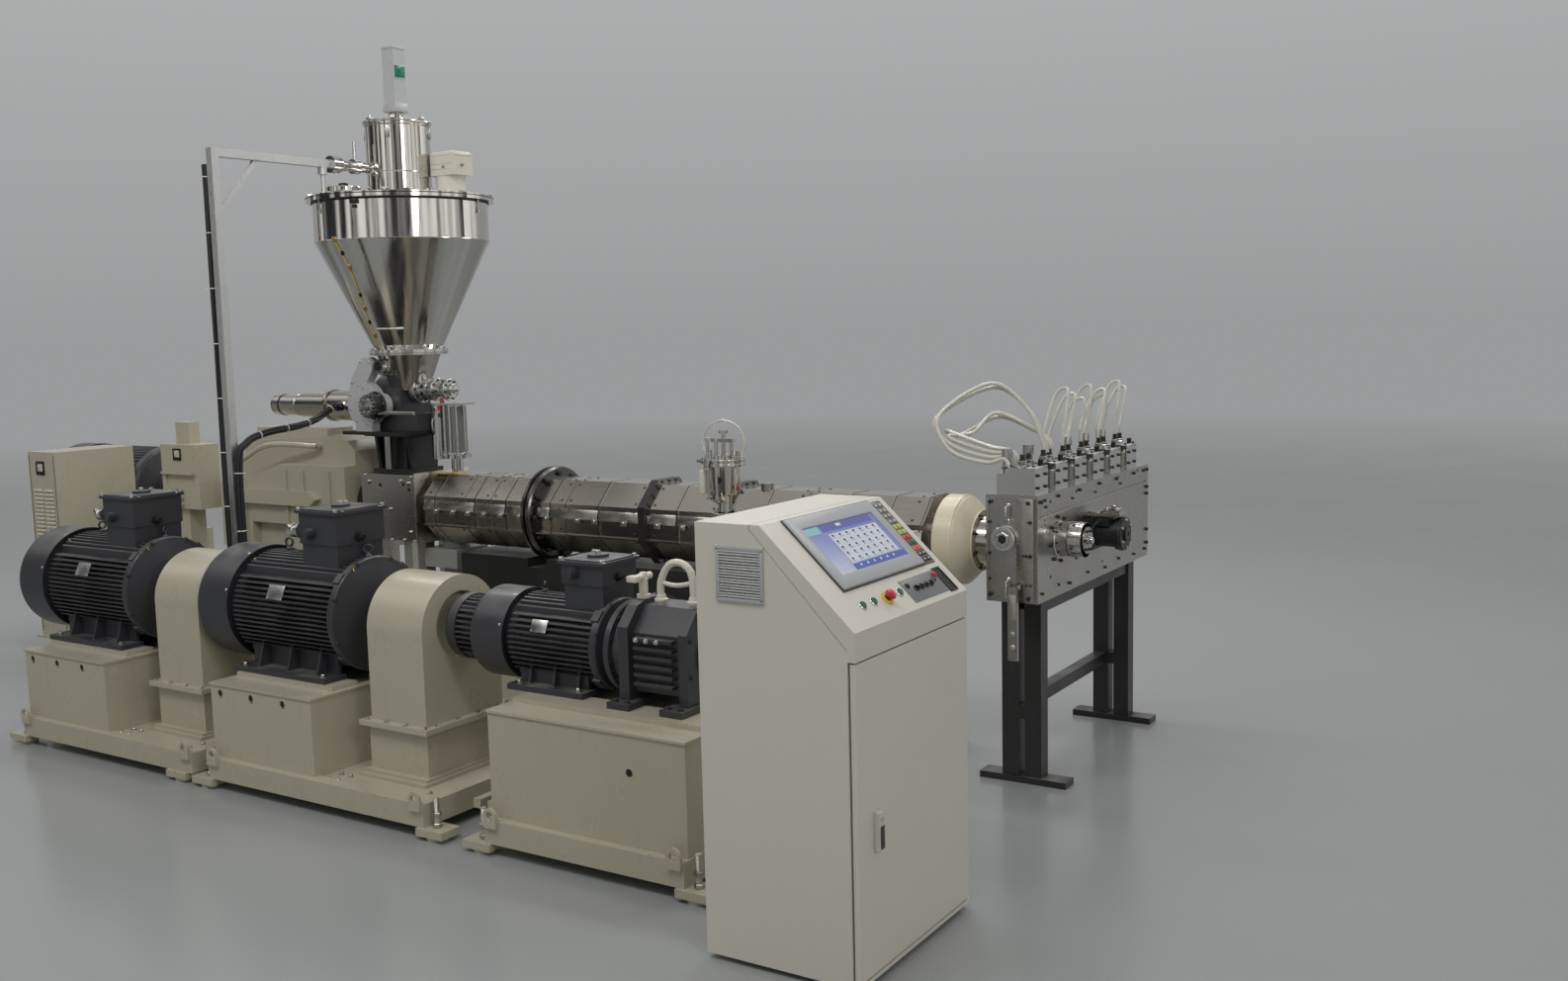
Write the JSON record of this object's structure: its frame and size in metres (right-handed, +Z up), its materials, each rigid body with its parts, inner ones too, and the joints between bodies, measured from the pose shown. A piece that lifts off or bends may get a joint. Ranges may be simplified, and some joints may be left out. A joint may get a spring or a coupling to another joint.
{
  "type": "plastic extruder line",
  "caption": "Plastic sheet extruder: hopper and feeder over a long barrel that ends in a sheet die, with a row of pump drives and an operator's console in front.",
  "frame": {"origin": "on the floor, under the middle of the whole plant's bounding box", "axes": "+X along the barrel towards the die, +Z up, +Y from the drive row to the barrel"},
  "size_m": [7.824, 3.62, 3.775],
  "materials": {
    "beige_paint": "satin enamel, a little worn at the edges",
    "console_paint": "fine-textured powder coat",
    "motor_paint": "satin machine enamel over cast iron",
    "barrel_steel": "satin stainless sheet",
    "polished_steel": "mirror-polished stainless steel",
    "tool_steel": "ground steel, oiled",
    "black_steel": "satin black",
    "grey_paint": "satin grey enamel",
    "cream_paint": "gloss enamel",
    "white_plastic": "smooth moulded plastic",
    "cable_rubber": "matt cable sheath",
    "panel": "screen bezel with coloured buttons"
  },
  "bodies": {
    "plant": {"drive_skid_left": "beige_paint", "drive_skid_middle": "beige_paint", "drive_skid_right": "beige_paint", "motor_left": "motor_paint", "motor_middle": "motor_paint", "motor_right": "motor_paint", "fan_cowl_left": "motor_paint", "fan_cowl_middle": "motor_paint", "fan_cowl_right": "motor_paint", "terminal_box_left": "motor_paint", "terminal_box_middle": "motor_paint", "terminal_box_right": "motor_paint", "fan_motor": "motor_paint", "coupling_guard_left": "beige_paint", "coupling_guard_middle": "beige_paint", "vacuum_pump": "motor_paint", "pump_manifold": "white_plastic", "extruder_base": "beige_paint", "main_motor": "motor_paint", "louvred_cabinet": "beige_paint", "gauge_box": "beige_paint", "gearbox": "beige_paint", "feed_housing": "barrel_steel", "barrel_cover_rear": "barrel_steel", "clamp_ring": "black_steel", "barrel_cover_front": "barrel_steel", "barrel_support": "grey_paint", "wiring_box": "black_steel", "vent_pot": "polished_steel", "feeder_stand": "black_steel", "feeder_body": "barrel_steel", "feeder_gear_case": "grey_paint", "dosing_pot": "polished_steel", "hopper_shell": "polished_steel", "hopper_lid": "polished_steel", "vacuum_loader": "polished_steel", "loader_blower": "white_plastic", "cable_post": "polished_steel", "cable_bundle": "cable_rubber", "gearbox_conduits": "beige_paint", "adaptor": "cream_paint", "die_block": "tool_steel", "die_valves": "tool_steel", "die_motor": "black_steel", "die_stand": "black_steel", "console_body": "console_paint", "console_desk": "console_paint", "touch_screen": "panel"},
    "console_door_leaf": {"console_door": "console_paint"},
    "hatch_cover": {"hopper_hatch": "polished_steel"}
  },
  "joints": [
    {"name": "console_door_hinge", "type": "hinge", "parent": "plant", "child": "console_door_leaf", "pos_m": [3.88, -1.012, 0.55], "axis": [0, 0, 1], "range_deg": [0, 110]},
    {"name": "hopper_hatch_hinge", "type": "hinge", "parent": "plant", "child": "hatch_cover", "pos_m": [-0.748, 0.219, 2.93], "axis": [1, 0, 0], "range_deg": [0, 105]}
  ]
}
